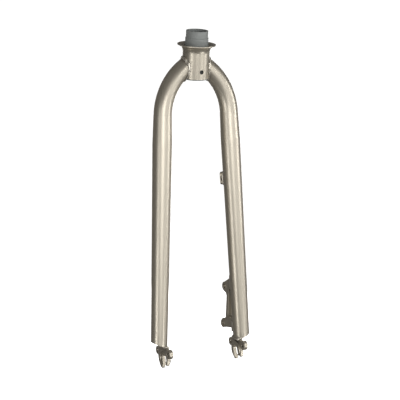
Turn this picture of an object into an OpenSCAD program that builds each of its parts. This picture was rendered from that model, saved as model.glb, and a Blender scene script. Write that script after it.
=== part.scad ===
// Bicycle fork, unicrown-style legs on a separate crown tube.
// Frame: origin on the steerer axis at the top plane of the crown flange,
// +X forward, +Y to the rider's left, +Z up along the steerer. Millimetres.

/* [Steerer] */
// outer diameter of the steerer tube
steerer_d = 28.6; // [25:0.1:32]
// wall of the steerer tube
steerer_wall = 2.0; // [1.4:0.1:3]
// length of steerer left above the crown flange
steerer_len = 17.5; // [12:0.5:260]
// diameter of the seat for the crown race
race_seat_d = 30; // [29:0.1:34]
// height of the race seat above the flange
race_seat_h = 9; // [4:0.5:11]
// how much wider the steerer's foot is, in radius, inside the crown
foot_step = 0.3; // [0.1:0.1:0.8]

/* [Crown] */
// outer diameter of the crown tube
crown_d = 35.2; // [34:0.2:40]
// distance from the flange plane to the lower end of the crown tube
crown_h = 43.6; // [42:0.2:52]
// diameter of the flared flange
flange_d = 49.8; // [46:0.2:54]
// thickness of the flange lip
lip_t = 1.0; // [0.8:0.1:2]
// radius of the hollow flare below the flange
flare_r = 9.5; // [8:0.5:12]
// depth of the dish in the top of the flange
dish = 1.2; // [0.4:0.1:1.6]
// mudguard bolt hole through the crown
crown_hole_d = 5.5; // [5:0.1:6.5]
// distance from the flange plane down to that hole
crown_hole_z = 33.8; // [30:0.2:37]

/* [Blades] */
// angle between the blades and the steerer
rake = 8.1; // [0:0.1:10]
// distance from the flange plane down to where the blade plane crosses the axis
blade_origin = 39.8; // [36:0.2:44]
// half distance between the blades where their bend ends
shoulder_half = 48; // [46:0.2:54]
// distance along the blade plane down to the end of the bend
bend_drop = 50.5; // [46:0.5:56]
// height above that crossing at which the two bends would meet
arch_rise = 17.8; // [14:0.2:22]
// blade diameter through the bend
bend_d = 23.8; // [22:0.1:25]
// largest blade diameter, below the bend
shoulder_d = 25.6; // [24:0.1:27]
// length over which the blade swells below the bend
swell_len = 36; // [20:1:60]
// blade diameter at the lower end
tip_d = 21.5; // [19:0.1:23]
// wall of the blade tube
blade_wall = 1.8; // [1.2:0.1:2.4]
// height of the blade's lower end below the flange plane, on its centreline
tip_z = 383; // [375:0.5:392]
// distance from the dropout's inner side out to the blade's centre there
tip_inset = 8.5; // [7:0.1:10]
// slant of the lower end, outer side higher
tip_slant = 20; // [16:0.5:28]
// thickness of the cap in the lower end
cap_t = 2.4; // [1.6:0.1:4]

/* [Dropouts] */
// distance between the pads for the hub's locknuts
hub_width = 100; // [99:0.5:102]
// forward offset of the axle from the steerer axis
axle_x = 53; // [48:0.5:58]
// distance of the axle below the flange plane
axle_z = 400.5; // [396:0.5:404]
// width of the axle slot
slot_w = 10.2; // [9:0.1:11]
// slant of the slot, forward of straight down
slot_angle = 24; // [16:0.5:28]
// thickness of the dropout plate
plate_t = 4; // [3:0.2:5]
// height of the raised pad on the inner face
pad_t = 2; // [1:0.2:2.4]
// radius of the raised pad
pad_r = 11; // [10:0.2:12]
// radius of the recess in the outer face
recess_r = 9.2; // [8:0.2:10]
// depth of that recess
recess_t = 1.2; // [0.6:0.1:1.6]
// radius of the rear hook's outer edge
hook_r = 19.8; // [19:0.2:21]
// radius of the eyelet behind the blade
rear_eyelet_r = 5.6; // [5:0.1:6.5]
// radius of the eyelet in front of the blade
front_eyelet_r = 6.2; // [5.5:0.1:7]
// bore of the eyelets
eyelet_hole_d = 5; // [4.2:0.1:5.6]
// extra thickness of the front eyelet on the outer side
eyelet_boss_t = 1.2; // [0.4:0.1:2]

/* [Disc tab] */
// distance between the two disc brake holes
disc_pitch = 51; // [50:0.5:52]
// bore of the disc brake holes
disc_hole_d = 6.4; // [6:0.1:7]
// radius of the tab round each hole
disc_boss_r = 6; // [5.4:0.1:7]
// thickness of the tab
disc_t = 6; // [4.5:0.5:7]
// height of the machined faces round the holes
disc_pad_t = 0.5; // [0.2:0.1:0.8]
// sideways step from the hub face out to those faces
disc_step = 0; // [-0.5:0.1:1]

/* [Hose guide] */
// distance of the guide below the flange plane
guide_z = 176; // [150:1:220]
// length of the guide along the blade
guide_len = 17; // [14:0.5:22]
// width of the guide
guide_w = 7; // [5:0.5:9]
// height of the guide above the blade
guide_h = 4.4; // [3.6:0.2:6]
// length of the tie slot through the guide
guide_slot = 6.4; // [5:0.2:8]

/* [Welds] */
// radius of the bead between blade and crown
crown_bead_r = 3.3; // [2.4:0.1:3.8]
// radius of the bead between dropout and tip cap
drop_bead_r = 2.2; // [1.6:0.1:2.8]
// radius of the small beads at the tab and the guide
small_bead_r = 1.8; // [1.4:0.1:2.2]

/* [Hidden] */
$fn = 96;
eps = 0.01;
// small step where the leg laps over the bend
seam = 0.1;
steerer_r = steerer_d / 2;
bore_r = steerer_r - steerer_wall;
seat_r = race_seat_d / 2;
foot_r = seat_r + foot_step;
crown_r = crown_d / 2;
flange_r = flange_d / 2;
bend_tube_r = bend_d / 2;
shoulder_r = shoulder_d / 2;
tip_r = tip_d / 2;
// dropout planes
plate_in = hub_width / 2 + pad_t;
plate_out = plate_in + plate_t;
// the blades lean outward so that their ends stand over the dropouts
leg_drop = (tip_z - blade_origin) / cos(rake) - bend_drop;
lean = atan((plate_in + tip_inset - shoulder_half) / leg_drop);
// centreline radius of a bend that joins the leg without a kink
bend_top_w = bend_drop + arch_rise;
bend_r = (pow(shoulder_half, 2) + pow(bend_top_w, 2))
  / (2 * (shoulder_half * cos(lean) - bend_top_w * sin(lean)));
// centre of the bend in the blade plane, sideways and downward
bend_cu = shoulder_half - bend_r * cos(lean);
bend_cw = bend_drop + bend_r * sin(lean);
// the bend runs on until its end lies inside the crown tube
bend_top = acos((crown_r * 0.12 - bend_cu) / bend_r);
// length of the straight leg, with a margin that is cut off
leg_cut = leg_drop / cos(lean);
leg_len = leg_cut + 20;
// centre of the blade's lower end
tip_w = bend_drop + leg_cut * cos(lean);
tip_u = shoulder_half + leg_cut * sin(lean);
tip_x = tip_w * sin(rake);
// axle slot: unit vectors along it and across it, in side view
sa = [sin(slot_angle), -cos(slot_angle)];
sn = [cos(slot_angle), sin(slot_angle)];
axle = [axle_x, -axle_z];
// the plate's outline is drawn for a 19.8 mm hook and grows with it
k = hook_r / 19.8;
// the hook's outer edge and the rounded tips, relative to the axle
hook_c = axle + k * [4.5, 3.5];
rear_tip_r = k * 2.5;
front_tip_r = k * 1.8;
rear_wall = axle - sn * slot_w / 2;
front_wall = axle + sn * slot_w / 2;
rear_eyelet = axle + k * [-17.3, 5.3];
front_eyelet = axle + k * [15.2, 9.4];
// tip circle of the hook, tangent to the slot wall and to the outer edge
rt0 = rear_wall - sn * rear_tip_r - hook_c;
rt_b = rt0 * sa;
rt_len = -rt_b + sqrt(rt_b * rt_b - (rt0 * rt0 - pow(hook_r - rear_tip_r, 2)));
rear_tip = hook_c + rt0 + sa * rt_len;
rear_tip_wall = rear_tip + sn * rear_tip_r;
rear_tip_out = hook_c + (rear_tip - hook_c) * (hook_r + 2) / (hook_r - rear_tip_r);
// tip circle of the front prong
front_len = k * 9.8;
front_tip = front_wall + sa * front_len + sn * front_tip_r;
// lower disc brake hole, the tab's own directions in side view, and the upper hole
disc_low = [15.235, -375.9825];
disc_tilt = 1.5;
tab_down = [sin(disc_tilt), -cos(disc_tilt)];
disc_up = disc_low - tab_down * disc_pitch;
tab_fwd = [cos(disc_tilt), sin(disc_tilt)];
// sideways planes of the tab: machined faces and the tab itself
disc_face = hub_width / 2 + disc_step;
disc_y = disc_face + disc_pad_t;
// depth of the tab's hollow rear edge, and the fillets at its ends
web_back = 6.4;
web_fillet = 5;
// how far the tab's straight cuts stay inside its rounded ones
tab_lap = 0.02;
// centre of the blade at the hose guide
guide_dir = 38;
guide_dw = (guide_z - blade_origin) / cos(rake);
guide_u = shoulder_half + (guide_dw - bend_drop) * tan(lean);
guide_r = shoulder_r - (shoulder_r - tip_r)
  * (guide_dw - bend_drop - swell_len) / (leg_cut - swell_len);

paint = [0.72, 0.69, 0.62];
bare = [0.50, 0.52, 0.51];

// Steerer

// the steerer with its wider base, bored through
module steerer_tube() {
  color(bare) difference() {
    union() {
      translate([0, 0, -crown_h]) cylinder(r = steerer_r, h = crown_h + steerer_len);
      translate([0, 0, -crown_h]) cylinder(r = foot_r, h = crown_h);
      translate([0, 0, -crown_h]) cylinder(r = seat_r, h = crown_h + race_seat_h - 0.7);
      translate([0, 0, race_seat_h - 0.7]) cylinder(r1 = seat_r, r2 = steerer_r, h = 0.7);
    }
    translate([0, 0, -crown_h - 1]) cylinder(r = bore_r, h = crown_h + steerer_len + 2);
    crown_hole();
  }
}

// the mudguard bolt hole, front to back
module crown_hole() {
  translate([-flange_r, 0, -crown_hole_z]) rotate([0, 90, 0])
    cylinder(d = crown_hole_d, h = flange_d);
}

// Crown

// tube with a hollow flare up to the flange lip
module crown_tube() {
  flare_c = crown_r + flare_r;
  flare_z = lip_t + sqrt(pow(flare_r, 2) - pow(flare_c - flange_r, 2));
  color(paint) difference() {
    union() {
      translate([0, 0, -crown_h]) cylinder(r = crown_r, h = crown_h);
      rotate_extrude() difference() {
        translate([0, -flare_z]) square([flange_r, flare_z]);
        translate([flare_c, -flare_z]) circle(r = flare_r);
      }
    }
    translate([0, 0, -dish]) cylinder(r1 = foot_r + 0.4, r2 = flange_r - 0.5, h = dish + eps);
    translate([0, 0, -crown_h - 1]) cylinder(r = foot_r, h = crown_h + 2);
    crown_hole();
  }
}

// Blades

// from the blade plane to the fork's frame, for the rider's left side
module blade_plane() {
  translate([0, 0, -blade_origin]) rotate([0, -rake, 0]) children();
}

// the bent upper part, thinner by the given wall and longer by an angle at each end
module blade_bend(wall, extra) {
  translate([0, bend_cu, -bend_cw]) rotate([90, 0, 90]) rotate([0, 0, lean - extra])
    rotate_extrude(angle = bend_top - lean + 2 * extra)
      translate([bend_r, 0]) circle(r = bend_tube_r - wall);
}

// the straight leg, swelling below the bend and then tapering; it laps over the bend
module blade_leg(wall, lap) {
  translate([0, shoulder_half, -bend_drop]) rotate([180 + lean, 0, 0]) {
    translate([0, 0, -lap])
      cylinder(r1 = bend_tube_r - wall + seam, r2 = shoulder_r - wall, h = swell_len + lap);
    translate([0, 0, swell_len])
      cylinder(r1 = shoulder_r - wall, r2 = leg_r(leg_len) - wall, h = leg_len - swell_len);
  }
}

// outer radius of the leg at a distance below the bend
function leg_r(s) = shoulder_r - (shoulder_r - tip_r) * (s - swell_len) / (leg_cut - swell_len);

// everything below the slanted end, moved up by the given amount
module below_tip(up) {
  translate([tip_x, tip_u, -tip_z]) rotate([tip_slant, 0, 0])
    translate([-60, -60, up - 100]) cube([120, 120, 100]);
}

// solid outline of the leg down to its slanted end
module leg_end() {
  difference() {
    blade_plane() blade_leg(0, 0);
    below_tip(0);
  }
}

// one hollow blade, coped round the crown tube
module blade() {
  difference() {
    blade_plane() { blade_bend(0, 0); blade_leg(0, 0.6); }
    blade_plane() blade_bend(blade_wall, 0.8);
    blade_plane() blade_leg(blade_wall, 1.2);
    translate([0, 0, -90]) cylinder(r = crown_r, h = 100);
    below_tip(cap_t);
  }
}

module left_blade() { color(paint) blade(); }
module right_blade() { color(paint) mirror([0, 1, 0]) blade(); }

// the flat cap that closes the slanted end
module tip_cap() {
  intersection() {
    leg_end();
    below_tip(cap_t);
  }
}

module left_tip_cap() { color(paint) tip_cap(); }
module right_tip_cap() { color(paint) mirror([0, 1, 0]) tip_cap(); }

// Dropouts

// raise a side-view outline between two sideways distances
module slab(y0, y1) {
  translate([0, y1, 0]) rotate([90, 0, 0]) linear_extrude(height = y1 - y0) children();
}

// the open axle slot, widened by a margin
module slot_shape(grow) {
  translate(axle) circle(r = slot_w / 2 + grow);
  polygon([axle - sn * (slot_w / 2 + grow), axle + sn * (slot_w / 2 + grow),
    axle + sn * (slot_w / 2 + grow) + sa * 30, axle - sn * (slot_w / 2 + grow) + sa * 30]);
}

// side view of the plate: rear hook, front prong and both eyelets
module plate_shape() {
  difference() {
    union() {
      intersection() {
        translate(hook_c) circle(r = hook_r);
        polygon([rear_tip_wall, rear_tip, rear_tip_out, axle + k * [-30, -14],
          axle + k * [-30, 10.2], axle + k * [-12.5, 12.6], axle + k * [-10.5, 15],
          axle + k * [-9.5, 19], axle + k * [2.5, 19], axle + sn]);
      }
      translate(rear_tip) circle(r = rear_tip_r);
      polygon([axle + k * [-9.5, 19], axle + k * [-9.5, 5], axle,
        front_wall + sa * front_len, front_tip, front_tip + [front_tip_r, 0],
        front_tip + [front_tip_r, k * 12], front_eyelet,
        front_eyelet + front_eyelet_r * [-0.7, 0.7], axle + k * [4.5, 15], axle + k * [2.5, 19]]);
      translate(front_tip) circle(r = front_tip_r);
      translate(rear_eyelet) circle(r = rear_eyelet_r);
      translate(front_eyelet) circle(r = front_eyelet_r);
    }
    slot_shape(0);
    translate(rear_eyelet) circle(d = eyelet_hole_d);
    translate(front_eyelet) circle(d = eyelet_hole_d);
  }
}

// one dropout with its inner pad, outer recess and thicker front eyelet
module dropout() {
  difference() {
    union() {
      slab(plate_in, plate_out) plate_shape();
      slab(plate_in - pad_t, plate_in + eps) intersection() {
        plate_shape();
        translate(axle) circle(r = pad_r);
      }
      slab(plate_out - eps, plate_out + eyelet_boss_t) difference() {
        translate(front_eyelet) circle(r = front_eyelet_r);
        translate(front_eyelet) circle(d = eyelet_hole_d);
      }
    }
    translate([axle[0], plate_out + eps, axle[1]]) rotate([90, 0, 0])
      cylinder(r = recess_r, h = recess_t + eps);
    leg_end();
  }
}

module left_dropout() { color(paint) dropout(); }
module right_dropout() { color(paint) mirror([0, 1, 0]) dropout(); }

// Disc brake tab

// point of the side view at distances down the hole line and forward of it
function tab_pt(down, fwd) = disc_up + tab_down * down + tab_fwd * fwd;

// side view of the tab, reaching into the blade
module tab_shape() {
  difference() {
    union() {
      translate(tab_pt(0, 0)) circle(r = disc_boss_r);
      translate(tab_pt(disc_pitch, 0)) circle(r = disc_boss_r);
      polygon([tab_pt(1, -3), tab_pt(disc_pitch - 1, -3),
        tab_pt(disc_pitch + disc_boss_r - 1.2, 2), tab_pt(disc_pitch - 1, 29),
        tab_pt(-18, 22), tab_pt(-15, 14), tab_pt(1.1 - disc_boss_r, -2.4)]);
    }
    tab_hollow();
    tab_window();
  }
}

// the straight hollow between the two bosses, with rounded ends
module tab_hollow() {
  top = disc_boss_r + 1.5;
  low = disc_pitch - disc_boss_r - 1.5;
  c = web_back - web_fillet;
  t1 = top + web_fillet - 0.2;
  t2 = low - web_fillet + 0.2;
  back = web_back - tab_lap;
  for (d = [top + web_fillet, low - web_fillet]) translate(tab_pt(d, c)) circle(r = web_fillet);
  polygon([tab_pt(t1, back), tab_pt(t1, -20), tab_pt(t2, -20), tab_pt(t2, back)]);
  polygon([tab_pt(top + tab_lap, c), tab_pt(top - 6, -20), tab_pt(low + 6, -20),
    tab_pt(low - tab_lap, c)]);
}

// the window between the web and the blade, rounded where it meets the web
module tab_window() {
  low = disc_pitch - 13;
  for (d = [2.5, low - 2]) translate(tab_pt(d, 15)) circle(r = 2);
  polygon([tab_pt(0.5 + tab_lap, 14.8), tab_pt(low - tab_lap, 14.8), tab_pt(low - tab_lap, 40),
    tab_pt(0.5 + tab_lap, 40)]);
  polygon([tab_pt(2.3, 13 + tab_lap), tab_pt(low - 1.8, 13 + tab_lap), tab_pt(low - 1.8, 40),
    tab_pt(2.3, 40)]);
}

module disc_tab() {
  color(paint) difference() {
    union() {
      slab(disc_y, disc_y + disc_t) tab_shape();
      slab(disc_face, disc_y + disc_t / 2)
        for (d = [0, disc_pitch]) translate(tab_pt(d, 0)) circle(r = disc_boss_r - 0.4);
    }
    slab(disc_face - 1, disc_y + disc_t + 1)
      for (d = [0, disc_pitch]) translate(tab_pt(d, 0)) circle(d = disc_hole_d);
    blade_plane() blade_leg(0, 0);
  }
}

// Hose guide

// place children at the guide, with +X pointing out of the blade
module guide_frame() {
  blade_plane() translate([0, guide_u, -guide_dw]) rotate([lean, 0, 0])
    rotate([0, 0, 180 + guide_dir]) children();
}

// a rounded bridge with a slot for the hose's tie
module hose_guide() {
  half = (guide_len - guide_w) / 2;
  color(paint) difference() {
    guide_frame() difference() {
      union() {
        translate([guide_r - 3, -guide_w / 2, -half]) cube([guide_h + 3, guide_w, 2 * half]);
        for (s = [-1, 1]) translate([guide_r - 3, 0, s * half]) rotate([0, 90, 0])
          cylinder(d = guide_w, h = guide_h + 3);
      }
      translate([guide_r + 1, -guide_w, -guide_slot / 2])
        cube([guide_h - 2.4, 2 * guide_w, guide_slot]);
    }
    blade_plane() blade_leg(0, 0);
  }
}

// Welds

// a bead round a closed ring of points, as a swept tube with ripples
module ring_bead(pts, radii, ripples) {
  n = len(pts);
  m = 8;
  c = sum_pts(pts, n - 1) / n;
  verts = [for (i = [0:n - 1])
    let (a = pts[(i + n - 1) % n], b = pts[(i + 1) % n], t = unit(b - a),
      e1 = unit(cross(t, pts[i] - c)), e2 = cross(t, e1),
      rr = radii[i] * (1 + 0.05 * sin(360 * ripples * i / n)))
    for (j = [0:m - 1]) pts[i] + rr * (cos(360 * j / m) * e1 + sin(360 * j / m) * e2)];
  faces = [for (i = [0:n - 1]) for (j = [0:m - 1])
    let (i2 = (i + 1) % n, j2 = (j + 1) % m)
    each [[i * m + j, i * m + j2, i2 * m + j2], [i * m + j, i2 * m + j2, i2 * m + j]]];
  polyhedron(points = verts, faces = faces);
}

function unit(v) = v / norm(v);
function sum_pts(p, i) = i < 0 ? [0, 0, 0] : p[i] + sum_pts(p, i - 1);

// point on the bend's surface, by angle along the bend and round the tube
function bend_pt(phi, th) =
  let (rr = bend_r + bend_tube_r * cos(th), x = bend_tube_r * sin(th),
    y = bend_cu + rr * cos(phi), z = -bend_cw + rr * sin(phi))
  [x * cos(rake) - z * sin(rake), y, x * sin(rake) + z * cos(rake) - blade_origin];

// point on the bend's centreline
function axis_pt(phi) =
  let (y = bend_cu + bend_r * cos(phi), z = -bend_cw + bend_r * sin(phi))
  [-z * sin(rake), y, z * cos(rake) - blade_origin];

// angle along the bend at which that surface reaches the crown tube
function cope_phi(th, lo, hi, k) =
  k == 0 ? (lo + hi) / 2 :
  let (mid = (lo + hi) / 2, p = bend_pt(mid, th))
  p[0] * p[0] + p[1] * p[1] > crown_r * crown_r
    ? cope_phi(th, mid, hi, k - 1) : cope_phi(th, lo, mid, k - 1);

// direction out of the corner between the bend and the crown tube
function corner_dir(p, phi) = unit(unit(p - axis_pt(phi)) + unit([p[0], p[1], 0]));

// the bead between one blade and the crown tube
module crown_weld() {
  turns = [for (i = [0:47]) i * 7.5];
  radii = [for (th = turns) crown_bead_r * (0.7 + 0.3 * cos(th))];
  ring = [for (i = [0:47]) let (phi = cope_phi(turns[i], 10, 80, 18), p = bend_pt(phi, turns[i]))
    p - 0.28 * radii[i] * corner_dir(p, phi)];
  difference() {
    ring_bead(ring, radii, 12);
    translate([0, 0, -crown_h - 1.8]) cylinder(r = crown_r, h = 60, $fn = 240);
    blade_plane() blade_bend(0, 0, $fn = 288);
  }
}

module left_crown_weld() { color(paint) crown_weld(); }
module right_crown_weld() { color(paint) mirror([0, 1, 0]) crown_weld(); }

// height of the slanted end at a sideways distance
function cap_z(y) = -tip_z + (y - tip_u) * tan(tip_slant);

// the bead round the top of the dropout plate
module dropout_weld() {
  x0 = axle_x - k * 10;
  x1 = axle_x + k * 3.5;
  z0 = cap_z(plate_in) - 0.4;
  z1 = cap_z(plate_out) - 0.2;
  difference() {
    union() {
      bead([x0, plate_out, z1], [x1, plate_out, z1], drop_bead_r);
      bead([x1, plate_out, z1], [x1, plate_in, z0], drop_bead_r + 0.2);
      bead([x1, plate_in, z0], [x0, plate_in, z0], drop_bead_r);
      bead([x0, plate_in, z0], [x0, plate_out, z1], drop_bead_r + 0.2);
    }
    slab(plate_in, plate_out) plate_shape();
    slab(plate_out - eps, plate_out + 6) translate(front_eyelet) circle(r = front_eyelet_r);
    // nothing stands in front of the hub's face
    slab(plate_in - pad_t - 6, plate_in + eps) translate(axle) circle(r = pad_r + 0.2);
    leg_end();
  }
}

// a straight round-ended bead between two points
module bead(a, b, r) {
  v = b - a;
  l = norm(v);
  translate(a) rotate([0, acos(v[2] / l), atan2(v[1], v[0])]) rotate_extrude()
    intersection() {
      union() {
        translate([-r, 0]) square([2 * r, l]);
        circle(r = r);
        translate([0, l]) circle(r = r);
      }
      translate([0, -r]) square([r, l + 2 * r]);
    }
}

module left_dropout_weld() { color(paint) dropout_weld(); }
module right_dropout_weld() { color(paint) mirror([0, 1, 0]) dropout_weld(); }

// the bead round one arm of the tab, between two distances down the tab
module tab_weld(d0, d1, reach) {
  grow = small_bead_r * 0.8;
  difference() {
    intersection() {
      slab(disc_y - grow, disc_y + disc_t + grow)
        polygon([tab_pt(d0, 8), tab_pt(d0 - 4.5, reach), tab_pt(d1 - 4.5, reach), tab_pt(d1, 8)]);
      blade_plane() blade_leg(-small_bead_r, 0);
    }
    slab(disc_y, disc_y + disc_t) tab_shape();
    blade_plane() blade_leg(0, 0);
  }
}

module disc_weld_upper() { color(paint) tab_weld(-16.5, 0.2, 22); }
module disc_weld_lower() { color(paint) tab_weld(disc_pitch - 6, disc_pitch + 7.5, 32); }

// the bead round the foot of the hose guide
module hose_guide_weld() {
  half = (guide_len - guide_w) / 2;
  grow = 1.2;
  color(paint) difference() {
    guide_frame() translate([guide_r - 3, 0, 0]) {
      translate([0, -guide_w / 2 - grow, -half]) cube([4, guide_w + 2 * grow, 2 * half]);
      for (s = [-1, 1]) translate([0, 0, s * half]) rotate([0, 90, 0])
        cylinder(d = guide_w + 2 * grow, h = 4);
    }
    guide_frame() {
      translate([guide_r - 4, -guide_w / 2, -half]) cube([6, guide_w, 2 * half]);
      for (s = [-1, 1]) translate([guide_r - 4, 0, s * half]) rotate([0, 90, 0])
        cylinder(d = guide_w, h = 6);
    }
    blade_plane() blade_leg(0, 0);
  }
}

// the fillet inside the crown's lower end
module steerer_weld() {
  color(bare) rotate_extrude() difference() {
    translate([foot_r, -crown_h]) circle(r = 1.6);
    translate([0, -crown_h]) square([crown_d, 10]);
  }
}

steerer_tube();
crown_tube();
left_blade();
right_blade();
left_tip_cap();
right_tip_cap();
left_dropout();
right_dropout();
disc_tab();
hose_guide();
left_crown_weld();
right_crown_weld();
left_dropout_weld();
right_dropout_weld();
disc_weld_upper();
disc_weld_lower();
hose_guide_weld();
steerer_weld();
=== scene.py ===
"""Looks of the bicycle fork: satin champagne paint, bare grey steerer, rippled weld beads."""
import math

import bmesh
import bpy
from mathutils import Matrix, Vector, noise


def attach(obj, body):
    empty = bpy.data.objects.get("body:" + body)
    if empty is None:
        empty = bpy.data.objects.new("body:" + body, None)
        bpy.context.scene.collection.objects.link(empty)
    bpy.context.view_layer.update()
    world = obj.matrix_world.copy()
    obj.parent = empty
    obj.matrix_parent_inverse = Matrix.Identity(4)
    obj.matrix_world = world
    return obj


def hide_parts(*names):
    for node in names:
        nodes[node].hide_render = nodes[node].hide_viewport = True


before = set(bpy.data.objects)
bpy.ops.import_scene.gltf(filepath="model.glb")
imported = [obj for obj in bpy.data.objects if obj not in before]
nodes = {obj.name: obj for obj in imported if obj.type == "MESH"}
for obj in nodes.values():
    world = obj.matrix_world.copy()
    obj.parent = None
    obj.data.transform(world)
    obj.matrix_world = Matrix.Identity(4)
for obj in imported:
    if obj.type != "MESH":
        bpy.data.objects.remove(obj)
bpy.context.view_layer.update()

ROOT = "root"
MM = 0.001

# Camera

# fitted to the photograph: place in metres, and the three axes of the view
CAMERA_AT = Vector((2.14657, -1.12352, 0.41265))
CAMERA_RIGHT = Vector((0.45806, 0.88779, 0.04495))
CAMERA_BACK = Vector((0.85591, -0.45413, 0.24737))
FOCAL_PIXELS = 1912.37
IMAGE_PIXELS = 400
SENSOR = 36.0


def add_camera():
    """The camera at the photograph's viewing angle."""
    back = CAMERA_BACK.normalized()
    right = (CAMERA_RIGHT - back * CAMERA_RIGHT.dot(back)).normalized()
    up = back.cross(right)
    data = bpy.data.cameras.new("camera")
    data.sensor_width = SENSOR
    data.lens = FOCAL_PIXELS * SENSOR / IMAGE_PIXELS
    data.clip_end = 30
    camera = bpy.data.objects.new("camera", data)
    turn = Matrix((right, up, back)).transposed().to_4x4()
    camera.matrix_world = Matrix.Translation(CAMERA_AT) @ turn
    bpy.context.collection.objects.link(camera)
    bpy.context.scene.camera = camera


# Node helpers

def feed(tree, source, socket):
    """Links a node's output to a socket, or writes a plain value on it."""
    if isinstance(source, bpy.types.NodeSocket):
        tree.links.new(source, socket)
    else:
        socket.default_value = source


def math_node(tree, operation, first, second):
    """The result of a Math node on two outputs or plain numbers."""
    node = tree.nodes.new("ShaderNodeMath")
    node.operation = operation
    feed(tree, first, node.inputs[0])
    feed(tree, second, node.inputs[1])
    return node.outputs[0]


# Studio

# middle of the fork, which the lamps face and the cards stand round, in metres
SUBJECT = Vector((0.03, 0, -0.2))
FLOOR_Z = -1.05
FLOOR_HALF = 12.0
FLOOR_PALE = (0.86, 0.86, 0.855, 1)
FLOOR_GLOW = 0.8
WHITE = (1, 1, 1, 1)
ROOM_GREY = (0.34, 0.335, 0.33, 1)
CARD_GREY = (0.16, 0.155, 0.15, 1)

# angles are in degrees and lengths in metres
# name, azimuth, elevation, distance, width, height, power in watts, slant
LAMPS = (
    ("key", 10, 13, 2.5, 1.5, 0.9, 14.4, -20),
    ("low_key", -36, -12, 2.5, 0.6, 0.4, 3.8, 0),
    ("strip", 88, 6, 2.5, 0.45, 1.0, 7.4, -20),
    ("high_side", 57, 30, 1.35, 0.3, 0.3, 2.8, 0),
    ("low_side", 57, -19, 1.6, 0.3, 0.25, 3.2, 0),
    ("rear_key", 176, -8, 2.5, 1.4, 0.9, 15, 0),
)

# name, azimuth of each end, distance, height of the lower and the upper edge
SIDE_CARDS = (
    ("left_card", -150, -50, 2.4, -0.95, 0.6),
    ("middle_card", 66, 76, 2.4, -0.6, 0.6),
    ("low_front_card", -20, 44, 2.2, -0.95, -0.3),
    ("right_card", 104, 150, 2.4, -0.95, 0.6),
    ("low_right_card", 64, 104, 2.3, -0.95, -0.45),
    ("back_card", 150, 210, 2.8, -0.1, 0.6),
)
# a side card is made of flat parts that each span about this many degrees
CARD_STEP = 25

# name, height and half the side
LEVEL_CARDS = (
    ("top_card", 0.6, 2.8),
    ("low_card", -0.97, 2.3),
)


def around(azimuth, elevation, distance):
    """A point round the fork. Azimuth 0 is the camera's side, positive to its right."""
    heading = math.atan2(CAMERA_BACK.y, CAMERA_BACK.x) + math.radians(azimuth)
    tilt = math.radians(elevation)
    flat = distance * math.cos(tilt)
    rise = distance * math.sin(tilt)
    return SUBJECT + Vector((flat * math.cos(heading), flat * math.sin(heading), rise))


def softbox(name, azimuth, elevation, distance, width, height, power, slant):
    """A soft rectangular lamp aimed at the fork, turned about its own axis by the slant."""
    data = bpy.data.lights.new(name, "AREA")
    data.shape = "RECTANGLE"
    data.size, data.size_y = width, height
    data.energy = power
    lamp = bpy.data.objects.new(name, data)
    lamp.location = around(azimuth, elevation, distance)
    lamp.rotation_euler = (SUBJECT - lamp.location).to_track_quat("-Z", "Y").to_euler()
    lamp.rotation_euler.rotate_axis("Z", math.radians(slant))
    bpy.context.collection.objects.link(lamp)


def add_lamps():
    """A broad key and a low one by the camera, a strip and two small lamps on the right, one behind."""
    for lamp in LAMPS:
        softbox(*lamp)


def staged_sheet(name, corners, material):
    """A flat rectangle of the studio, which isn't part of the fork."""
    mesh = bpy.data.meshes.new(name)
    bm = bmesh.new()
    bm.faces.new([bm.verts.new(c) for c in corners])
    bm.to_mesh(mesh)
    bm.free()
    mesh.materials.append(material)
    sheet = bpy.data.objects.new(name, mesh)
    bpy.context.collection.objects.link(sheet)
    return sheet


def grey_card(name, corners, material):
    """A card out of the camera's sight that gives the paint its dark reflections."""
    card = staged_sheet(name, corners, material)
    card.visible_camera = False
    card.visible_diffuse = False
    card.visible_shadow = False


def side_card(name, start, end, radius, low, high, material):
    """A bent card that stands beside the fork between two azimuths."""
    parts = max(1, round(abs(end - start) / CARD_STEP))
    for k in range(parts):
        a = around(start + (end - start) * k / parts, 0, radius)
        b = around(start + (end - start) * (k + 1) / parts, 0, radius)
        corners = [(a.x, a.y, low), (b.x, b.y, low), (b.x, b.y, high), (a.x, a.y, high)]
        grey_card("%s_%d" % (name, k), corners, material)


def level_square(x, y, half, height):
    """The corners of a level square about a point."""
    return [(x - half, y - half, height), (x + half, y - half, height),
            (x + half, y + half, height), (x - half, y + half, height)]


def background_rays(tree):
    """A factor of 1 for the rays that show the background: camera, glossy and transmission."""
    path = tree.nodes.new("ShaderNodeLightPath")
    seen = math_node(tree, "MAXIMUM", path.outputs["Is Camera Ray"], path.outputs["Is Glossy Ray"])
    return math_node(tree, "MAXIMUM", seen, path.outputs["Is Transmission Ray"])


def add_world():
    """White behind the fork, in its metal too, and a soft grey studio for the light."""
    world = bpy.data.worlds.new("studio")
    bpy.context.scene.world = world
    world.use_nodes = True
    tree = world.node_tree
    tree.nodes.clear()
    out = tree.nodes.new("ShaderNodeOutputWorld")
    mix = tree.nodes.new("ShaderNodeMixShader")
    seen = tree.nodes.new("ShaderNodeBackground")
    lit = tree.nodes.new("ShaderNodeBackground")
    seen.inputs["Color"].default_value = WHITE
    lit.inputs["Color"].default_value = ROOM_GREY
    tree.links.new(background_rays(tree), mix.inputs[0])
    tree.links.new(lit.outputs[0], mix.inputs[1])
    tree.links.new(seen.outputs[0], mix.inputs[2])
    tree.links.new(mix.outputs[0], out.inputs[0])


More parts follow.
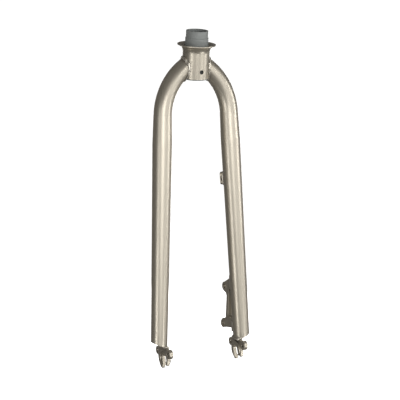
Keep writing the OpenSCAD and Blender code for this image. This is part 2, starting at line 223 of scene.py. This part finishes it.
def floor_finish():
    """A pale floor that shows white but keeps the shadow."""
    mat = bpy.data.materials.new("floor_white")
    mat.use_nodes = True
    tree = mat.node_tree
    tree.nodes.clear()
    out = tree.nodes.new("ShaderNodeOutputMaterial")
    both = tree.nodes.new("ShaderNodeAddShader")
    pale = tree.nodes.new("ShaderNodeBsdfDiffuse")
    glow = tree.nodes.new("ShaderNodeEmission")
    pale.inputs["Color"].default_value = FLOOR_PALE
    tree.links.new(math_node(tree, "MULTIPLY", background_rays(tree), FLOOR_GLOW), glow.inputs["Strength"])
    tree.links.new(pale.outputs[0], both.inputs[0])
    tree.links.new(glow.outputs[0], both.inputs[1])
    tree.links.new(both.outputs[0], out.inputs["Surface"])
    return mat


def card_finish():
    """The dull grey of the cards."""
    mat = bpy.data.materials.new("card_grey")
    mat.use_nodes = True
    shader = mat.node_tree.nodes["Principled BSDF"]
    shader.inputs["Base Color"].default_value = CARD_GREY
    shader.inputs["Roughness"].default_value = 0.9
    return mat


def add_stage():
    """A wide floor well below the fork, and grey cards at its sides, over it and under it."""
    staged_sheet("floor", level_square(0, 0, FLOOR_HALF, FLOOR_Z), floor_finish())
    grey = card_finish()
    for card in SIDE_CARDS:
        side_card(*card, grey)
    for name, height, half in LEVEL_CARDS:
        grey_card(name, level_square(SUBJECT.x, SUBJECT.y, half, height), grey)


# Finishes

CHAMPAGNE = (0.605, 0.555, 0.46, 1)
# paler than the paint itself, as a painted highlight on the weld beads
BEAD_HIGHLIGHT_CHAMPAGNE = (0.72, 0.67, 0.58, 1)
STEEL_GREY = (0.275, 0.29, 0.28, 1)


def socket_type(label):
    """Every input and output named Color is a colour, and the others are numbers."""
    return "NodeSocketColor" if label == "Color" else "NodeSocketFloat"


def effect(name, inputs, outputs):
    """A new node group that more than one finish uses, from input names with values, and output names."""
    group = bpy.data.node_groups.new(name, "ShaderNodeTree")
    for label, value in inputs.items():
        socket = group.interface.new_socket(label, in_out="INPUT", socket_type=socket_type(label))
        socket.default_value = value
    for label in outputs:
        group.interface.new_socket(label, in_out="OUTPUT", socket_type=socket_type(label))
    return group, group.nodes.new("NodeGroupInput"), group.nodes.new("NodeGroupOutput")


def scaled_noise(tree, scale, detail):
    """Noise in the fork's own space."""
    place = tree.nodes.new("ShaderNodeTexCoord")
    tex = tree.nodes.new("ShaderNodeTexNoise")
    tex.inputs["Detail"].default_value = detail
    tree.links.new(place.outputs["Object"], tex.inputs["Vector"])
    tree.links.new(scale, tex.inputs["Scale"])
    return tex.outputs["Fac"]


def tinted(tree, colour, factor):
    """A colour made brighter or darker by a factor near 1."""
    node = tree.nodes.new("ShaderNodeVectorMath")
    node.operation = "SCALE"
    tree.links.new(colour, node.inputs[0])
    tree.links.new(factor, node.inputs["Scale"])
    return node.outputs[0]


def varied(tree, colour, change):
    """A colour changed by a share of itself, which may be negative."""
    return tinted(tree, colour, math_node(tree, "ADD", change, 1.0))


def metal_flake():
    """Fine bright and dark grains, in colour and in gloss."""
    group, given, result = effect(
        "metal_flake",
        {"Color": CHAMPAGNE, "Grain Scale": 1500.0, "Grain Contrast": 0.12, "Roughness": 0.35},
        ["Color", "Roughness"])
    place = group.nodes.new("ShaderNodeTexCoord")
    cell = group.nodes.new("ShaderNodeTexVoronoi")
    group.links.new(place.outputs["Object"], cell.inputs["Vector"])
    group.links.new(given.outputs["Grain Scale"], cell.inputs["Scale"])
    split = group.nodes.new("ShaderNodeSeparateColor")
    group.links.new(cell.outputs["Color"], split.inputs[0])
    centred = math_node(group, "SUBTRACT", split.outputs[0], 0.5)
    grain = math_node(group, "MULTIPLY", centred, given.outputs["Grain Contrast"])
    group.links.new(varied(group, given.outputs["Color"], grain), result.inputs["Color"])
    dull = math_node(group, "MULTIPLY", grain, -0.35)
    group.links.new(math_node(group, "ADD", given.outputs["Roughness"], dull), result.inputs["Roughness"])
    return group


def tone_drift():
    """Slow changes of tone over a painted or bare surface."""
    group, given, result = effect(
        "tone_drift", {"Color": CHAMPAGNE, "Patch Scale": 30.0, "Strength": 0.08}, ["Color"])
    broad = math_node(group, "SUBTRACT", scaled_noise(group, given.outputs["Patch Scale"], 3.0), 0.5)
    change = math_node(group, "MULTIPLY", broad, given.outputs["Strength"])
    group.links.new(varied(group, given.outputs["Color"], change), result.inputs["Color"])
    return group


def paint_peel():
    """The slight waviness of sprayed paint over a fine tooth, as a height in metres."""
    group, given, result = effect(
        "paint_peel", {"Wave Scale": 260.0, "Wave Height": 0.00001, "Tooth Height": 0.000002}, ["Height"])
    broad = scaled_noise(group, given.outputs["Wave Scale"], 1.0)
    wave = math_node(group, "MULTIPLY", broad, given.outputs["Wave Height"])
    fine = scaled_noise(group, math_node(group, "MULTIPLY", given.outputs["Wave Scale"], 9.0), 3.0)
    tooth = math_node(group, "MULTIPLY", fine, given.outputs["Tooth Height"])
    group.links.new(math_node(group, "ADD", wave, tooth), result.inputs["Height"])
    return group


def painted_crest_light_and_shade():
    """Painted highlights on crests and painted shade in hollows, from how the surface bulges."""
    group, given, result = effect("painted_crest_light_and_shade", {"Color": CHAMPAGNE, "Contrast": 1.0}, ["Color"])
    shape = group.nodes.new("ShaderNodeNewGeometry")
    spread = group.nodes.new("ShaderNodeMapRange")
    for label, value in (("From Min", 0.44), ("From Max", 0.56), ("To Min", -0.5), ("To Max", 0.5)):
        spread.inputs[label].default_value = value
    group.links.new(shape.outputs["Pointiness"], spread.inputs["Value"])
    change = math_node(group, "MULTIPLY", spread.outputs[0], given.outputs["Contrast"])
    group.links.new(varied(group, given.outputs["Color"], change), result.inputs["Color"])
    return group


def hollow_shade():
    """Painted shade in bores, corners and under the crown."""
    group, given, result = effect(
        "hollow_shade", {"Color": CHAMPAGNE, "Reach": 0.008, "Darkness": 0.7}, ["Color"])
    room = group.nodes.new("ShaderNodeAmbientOcclusion")
    room.samples = 12
    group.links.new(given.outputs["Reach"], room.inputs["Distance"])
    covered = math_node(group, "SUBTRACT", 1.0, room.outputs["AO"])
    dark = math_node(group, "MULTIPLY", covered, given.outputs["Darkness"])
    # even the deepest corner keeps a little of its colour
    keep = math_node(group, "MAXIMUM", math_node(group, "SUBTRACT", 1.0, dark), 0.03)
    group.links.new(tinted(group, given.outputs["Color"], keep), result.inputs["Color"])
    return group


def place_effect(tree, group, **values):
    """One use of a shared effect with its own values; an underscore stands for a space in a name."""
    node = tree.nodes.new("ShaderNodeGroup")
    node.node_tree = group
    for label, value in values.items():
        feed(tree, value, node.inputs[label.replace("_", " ")])
    return node.outputs


def new_finish(name):
    """A new material, with its node tree and its shader."""
    mat = bpy.data.materials.new(name)
    mat.use_nodes = True
    return mat, mat.node_tree, mat.node_tree.nodes["Principled BSDF"]


def grained(tree, shader, effects, **values):
    """The grain of the surface, in the shader's colour and gloss."""
    flake = place_effect(tree, effects["flake"], **values)
    tree.links.new(flake["Color"], shader.inputs["Base Color"])
    tree.links.new(flake["Roughness"], shader.inputs["Roughness"])


def relief(tree, shader, height):
    """Feeds a height in metres to the shader's normal."""
    bump = tree.nodes.new("ShaderNodeBump")
    bump.inputs["Distance"].default_value = 1.0
    tree.links.new(height, bump.inputs["Height"])
    tree.links.new(bump.outputs[0], shader.inputs["Normal"])


def champagne_paint(name, effects, base=CHAMPAGNE, roughness=0.36, contrast=0.0, wave=0.000005, reach=0.012):
    """Satin metallic paint, with painted shade in bores and corners; painted highlights on crests and painted
    shade in hollows are added where a contrast is given.
    """
    mat, tree, shader = new_finish(name)
    shader.inputs["Metallic"].default_value = 0.82
    shader.inputs["Coat Weight"].default_value = 0.12
    shader.inputs["Coat Roughness"].default_value = 0.28
    colour = place_effect(tree, effects["drift"], Color=base, Patch_Scale=26.0, Strength=0.05)["Color"]
    # painted shade in bores, corners and under the crown
    colour = place_effect(tree, effects["hollow"], Color=colour, Reach=reach, Darkness=1.25)["Color"]
    # where a contrast is given: painted highlights on crests and painted shade in hollows
    if contrast:
        colour = place_effect(tree, effects["crest_light_and_shade"], Color=colour, Contrast=contrast)["Color"]
    grained(tree, shader, effects, Color=colour, Grain_Scale=2400.0, Grain_Contrast=0.12, Roughness=roughness)
    peel = place_effect(tree, effects["peel"], Wave_Scale=300.0, Wave_Height=wave, Tooth_Height=0.000002)
    relief(tree, shader, peel["Height"])
    return mat


def turned_steel(effects):
    """Grey machined steel with fine rings from the lathe."""
    mat, tree, shader = new_finish("turned_steel")
    shader.inputs["Metallic"].default_value = 0.1
    colour = place_effect(tree, effects["drift"], Color=STEEL_GREY, Patch_Scale=60.0, Strength=0.14)["Color"]
    grained(tree, shader, effects, Color=colour, Grain_Scale=2200.0, Grain_Contrast=0.10, Roughness=0.5)
    place = tree.nodes.new("ShaderNodeTexCoord")
    rings = tree.nodes.new("ShaderNodeTexWave")
    rings.bands_direction = "Z"
    rings.inputs["Scale"].default_value = 700.0
    rings.inputs["Distortion"].default_value = 0.6
    tree.links.new(place.outputs["Object"], rings.inputs["Vector"])
    groove = math_node(tree, "MULTIPLY", rings.outputs["Fac"], 0.000006)
    peel = place_effect(tree, effects["peel"], Wave_Scale=420.0, Wave_Height=0.000004, Tooth_Height=0.000002)
    relief(tree, shader, math_node(tree, "ADD", groove, peel["Height"]))
    return mat


# Pieces

# size of the small cells that even out a mesh, in millimetres
PLATE_GRID = 0.3
BEAD_GRID = 0.25
# how many times a plate is softened
PLATE_PASSES = 3


def node_mesh(node):
    """A closed copy of a CAD node's mesh, in the fork's frame."""
    bm = bmesh.new()
    bm.from_mesh(nodes[node].data)
    bm.transform(nodes[node].matrix_world)
    bmesh.ops.remove_doubles(bm, verts=bm.verts, dist=0.002 * MM)
    return bm


def even_mesh(node, grid):
    """The form of a CAD node as an even mesh of small faces."""
    bm = node_mesh(node)
    rough = bpy.data.meshes.new(node + "_rough")
    bm.to_mesh(rough)
    bm.free()
    carrier = bpy.data.objects.new(node + "_rough", rough)
    bpy.context.collection.objects.link(carrier)
    even = carrier.modifiers.new("even", "REMESH")
    even.mode = "VOXEL"
    even.voxel_size = grid * MM
    seen = carrier.evaluated_get(bpy.context.evaluated_depsgraph_get())
    mesh = bpy.data.meshes.new_from_object(seen)
    bpy.data.objects.remove(carrier)
    bpy.data.meshes.remove(rough)
    out = bmesh.new()
    out.from_mesh(mesh)
    bpy.data.meshes.remove(mesh)
    return out


def soften(bm, passes):
    """Rounds the edges a little, as a coat of paint does."""
    for _ in range(passes):
        bmesh.ops.smooth_vert(bm, verts=bm.verts, factor=0.5,
                              use_axis_x=True, use_axis_y=True, use_axis_z=True)


def finish_piece(name, bm, node, material):
    """Turns a mesh into the piece that stands for a CAD node."""
    for face in bm.faces:
        face.smooth = True
    mesh = bpy.data.meshes.new(name)
    bm.to_mesh(mesh)
    bm.free()
    mesh.materials.append(material)
    piece = bpy.data.objects.new(name, mesh)
    bpy.context.collection.objects.link(piece)
    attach(piece, ROOT)
    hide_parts(node)


def rounded_plate(node, material):
    """A plate or fitting with its edges broken."""
    bm = even_mesh(node, PLATE_GRID)
    soften(bm, PLATE_PASSES)
    finish_piece(node + "_rounded", bm, node, material)


def weld_bead(node, along, material, pitch, seed, ripple=0.12, lump=0.15, swell=0.0):
    """A bead with the overlapping ripples and uneven lumps of hand welding, fuller at its front."""
    bm = even_mesh(node, BEAD_GRID)
    soften(bm, 1)
    bm.normal_update()
    moves = []
    for vert in bm.verts:
        p = vert.co / MM
        s = along(p)
        # ripples of uneven length, one after the other along the bead
        wobble = noise.noise(Vector((s * 0.23, seed, 1.7))) * 0.9
        phase = (s / pitch + wobble) % 1.0
        scallop = 1.0 - abs(2.0 * phase - 1.0) ** 1.6
        # broad lumps and fine ones on them
        rough = noise.noise(Vector((p.x * 0.3 + seed, p.y * 0.3, p.z * 0.3)))
        fine = noise.noise(Vector((p.x * 0.9, p.y * 0.9 + seed, p.z * 0.9)))
        front = max(0.0, vert.normal.x) ** 0.5
        shift = (ripple * (scallop - 0.45) + lump * rough) * (0.35 + 0.65 * front)
        shift += 0.25 * lump * fine + swell * front
        moves.append(vert.normal * MM * shift)
    for vert, move in zip(bm.verts, moves):
        vert.co += move
    soften(bm, 2)
    finish_piece(node + "_bead", bm, node, material)


def round_point(x, z, radius):
    """Length along a loop round a sideways axis through a point, in millimetres."""
    return lambda p: math.atan2(p.z - z, p.x - x) * radius


def add_beads(material):
    """The welds at the crown, the dropouts, the disc tab and the hose guide."""
    for k, side in enumerate(("left", "right")):
        weld_bead(side + "_crown_weld", round_point(0.0, -20.0, 15.0), material, pitch=3.4,
                  seed=3.1 + 5 * k, ripple=0.08, lump=0.5, swell=0.3)
        weld_bead(side + "_dropout_weld", lambda p: p.x + p.y, material, pitch=2.3, seed=11.7 + 5 * k)
    weld_bead("disc_weld_upper", lambda p: p.z + 0.6 * p.x, material, pitch=2.2, seed=21.3)
    weld_bead("disc_weld_lower", lambda p: p.z + 0.6 * p.x, material, pitch=2.2, seed=27.9)
    weld_bead("hose_guide_weld", lambda p: p.z + 0.7 * p.y, material, pitch=1.9,
              seed=33.3, ripple=0.18, lump=0.2)


def dress(node, material):
    """Gives a CAD node, whose shape is right, its finish."""
    for slot in nodes[node].material_slots:
        slot.material = material


# The fork in its studio

bpy.context.scene.view_settings.view_transform = "Standard"
add_camera()
add_lamps()
add_world()
add_stage()

shared = {"flake": metal_flake(), "drift": tone_drift(), "peel": paint_peel(), "crest_light_and_shade": painted_crest_light_and_shade(),
          "hollow": hollow_shade()}
tube_paint = champagne_paint("champagne_tubes", shared)
plate_paint = champagne_paint("champagne_fittings", shared, roughness=0.38, contrast=0.45, reach=0.005)
# the beads get the paler colour as a painted highlight, and painted crest highlights
bead_paint = champagne_paint("champagne_beads", shared, base=BEAD_HIGHLIGHT_CHAMPAGNE, roughness=0.33,
                             contrast=0.5, wave=0.000008, reach=0.002)
steel = turned_steel(shared)

for tube in ("crown_tube", "left_blade", "right_blade", "left_tip_cap", "right_tip_cap"):
    dress(tube, tube_paint)
for bare in ("steerer_tube", "steerer_weld"):
    dress(bare, steel)
for fitting in ("left_dropout", "right_dropout", "disc_tab", "hose_guide"):
    rounded_plate(fitting, plate_paint)
add_beads(bead_paint)
